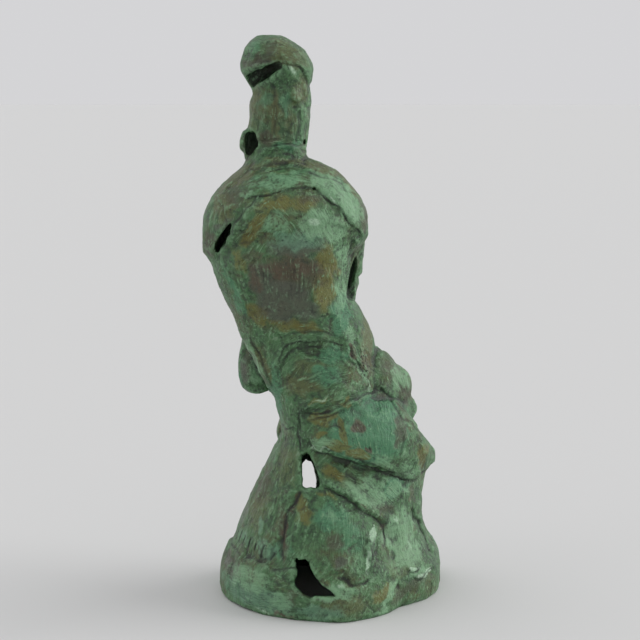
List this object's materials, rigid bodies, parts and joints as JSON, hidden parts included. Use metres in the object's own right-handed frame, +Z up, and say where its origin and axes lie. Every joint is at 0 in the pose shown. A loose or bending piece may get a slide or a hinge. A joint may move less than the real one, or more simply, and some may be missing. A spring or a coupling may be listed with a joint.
{
  "type": "abstract bronze sculpture",
  "caption": "Hollow cast bronze of a robed woman in a tall cap, leaning with one knee out, in lapped sheets with green patina.",
  "frame": {"origin": "on the ground, at the middle of the figure's outline", "axes": "+Z up, +Y the way the figure faces, +X towards its knee"},
  "size_m": [0.172, 0.1561, 0.4003],
  "materials": {
    "bronze": "green and olive patina over brown bronze, dull, with mint on the ridges"
  },
  "bodies": {
    "root": {"bronze_figure": "bronze"}
  },
  "joints": []
}
